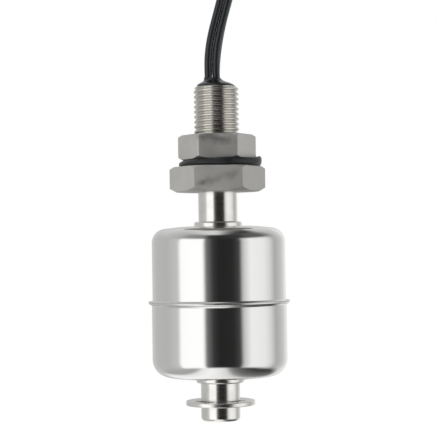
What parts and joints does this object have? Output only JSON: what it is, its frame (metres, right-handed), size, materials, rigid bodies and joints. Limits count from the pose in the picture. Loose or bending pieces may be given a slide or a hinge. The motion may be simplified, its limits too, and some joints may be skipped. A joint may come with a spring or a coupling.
{
  "type": "float level switch",
  "caption": "Stainless steel float level switch: threaded hexagon fitting with jam nut and gasket, closed stem, sliding hollow float, retaining ring and two insulated leads.",
  "frame": {"origin": "on the stem's axis, at the flange's seating face where the threaded shank starts", "axes": "+Z along the stem's axis towards the leads; -Y is the side seen in the picture, with +X to its right; the coil of lead lies at the back, on +Y"},
  "size_m": [0.0298, 0.0398, 0.1028],
  "materials": {
    "steel": "satin machined stainless steel",
    "polished_steel": "mirror-polished drawn stainless steel",
    "ring_steel": "bright spring steel",
    "rubber": "matt black rubber",
    "resin": "glossy black casting resin",
    "lead_insulation": "smooth black PVC",
    "tinned_copper": "tinned copper strands",
    "glass": "clear green-tinted glass",
    "nickel_iron": "tin-plated nickel-iron",
    "ferrite": "dark grey sintered ferrite",
    "sleeve": "shrunk white sleeve",
    "carrier": "natural nylon tube",
    "tie_nylon": "black wire tie"
  },
  "bodies": {
    "fitting": {"stem_body": "steel", "gasket": "rubber", "retaining_ring": "ring_steel", "potting": "resin", "reed_glass": "glass", "reed_blade_upper": "nickel_iron", "reed_blade_lower": "nickel_iron", "return_wire": "tinned_copper", "return_sleeve": "sleeve", "splice_sleeve_a": "sleeve", "splice_sleeve_b": "sleeve", "splice_sleeve_lower": "sleeve", "reed_carrier": "carrier", "lead_a": "lead_insulation", "lead_b": "lead_insulation", "lead_coil": "lead_insulation", "lead_tie": "tie_nylon", "lead_a_tip": "tinned_copper", "lead_b_tip": "tinned_copper"},
    "nut": {"jam_nut": "steel"},
    "float": {"float_upper_shell": "polished_steel", "float_lower_shell": "polished_steel", "float_tube": "steel", "ring_magnet": "ferrite", "magnet_clip_upper": "ring_steel", "magnet_clip_lower": "ring_steel"}
  },
  "joints": [
    {"name": "float_slide", "type": "slide", "parent": "fitting", "child": "float", "axis": [0, 0, 1], "range_m": [-0.00375, 0.0063]},
    {"name": "nut_travel", "type": "slide", "parent": "fitting", "child": "nut", "axis": [0, 0, 1], "range_m": [0, 0.0102]}
  ]
}
